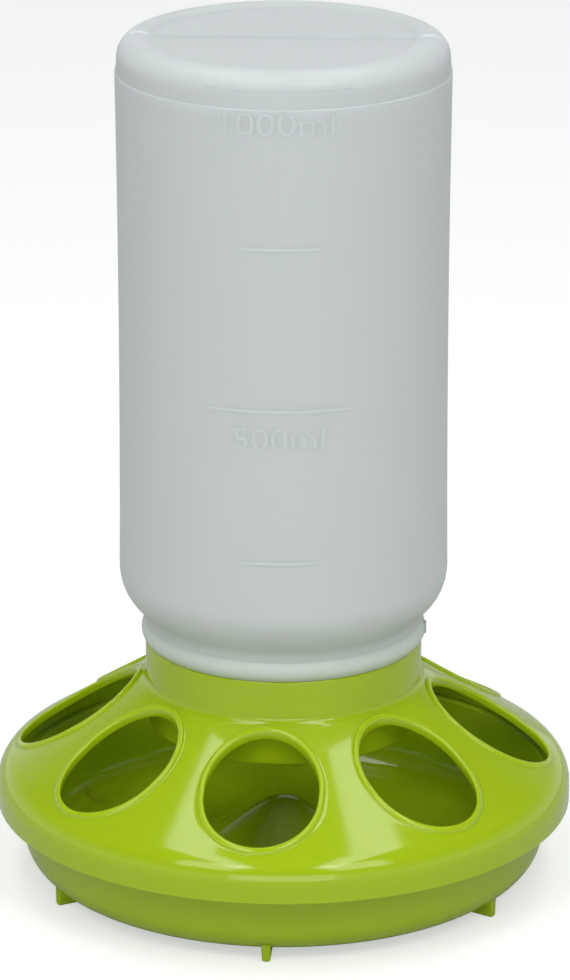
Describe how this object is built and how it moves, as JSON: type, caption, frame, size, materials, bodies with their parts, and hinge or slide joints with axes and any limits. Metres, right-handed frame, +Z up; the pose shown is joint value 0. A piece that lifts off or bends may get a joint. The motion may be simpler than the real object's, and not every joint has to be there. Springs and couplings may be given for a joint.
{
  "type": "poultry feeder with screw-on jar",
  "caption": "Gravity feeder for chicks: an upturned translucent jar screws into a conical cover with round feeding ports, which sits on a round footed tray.",
  "frame": {"origin": "centre of the plane on which the feet stand", "axes": "+Z up, along the axis of jar, cover and tray; -Y towards the first foot, near the port that faces front"},
  "size_m": [0.1562, 0.1562, 0.2334],
  "materials": {
    "jar_plastic": "satin, milky, translucent",
    "cover_plastic": "glossy lime green",
    "tray_plastic": "glossy lime green"
  },
  "bodies": {
    "tray": {"tray": "tray_plastic"},
    "cover": {"cover": "cover_plastic"},
    "jar": {"jar": "jar_plastic"}
  },
  "joints": [
    {"name": "cover_lift", "type": "slide", "parent": "tray", "child": "cover", "axis": [0, 0, 1], "range_m": [0, 0.06]},
    {"name": "jar_unscrew", "type": "hinge", "parent": "cover", "child": "jar", "pos_m": [0, 0, 0.06713], "axis": [0, 0, 1], "range_deg": [0, 540]}
  ]
}
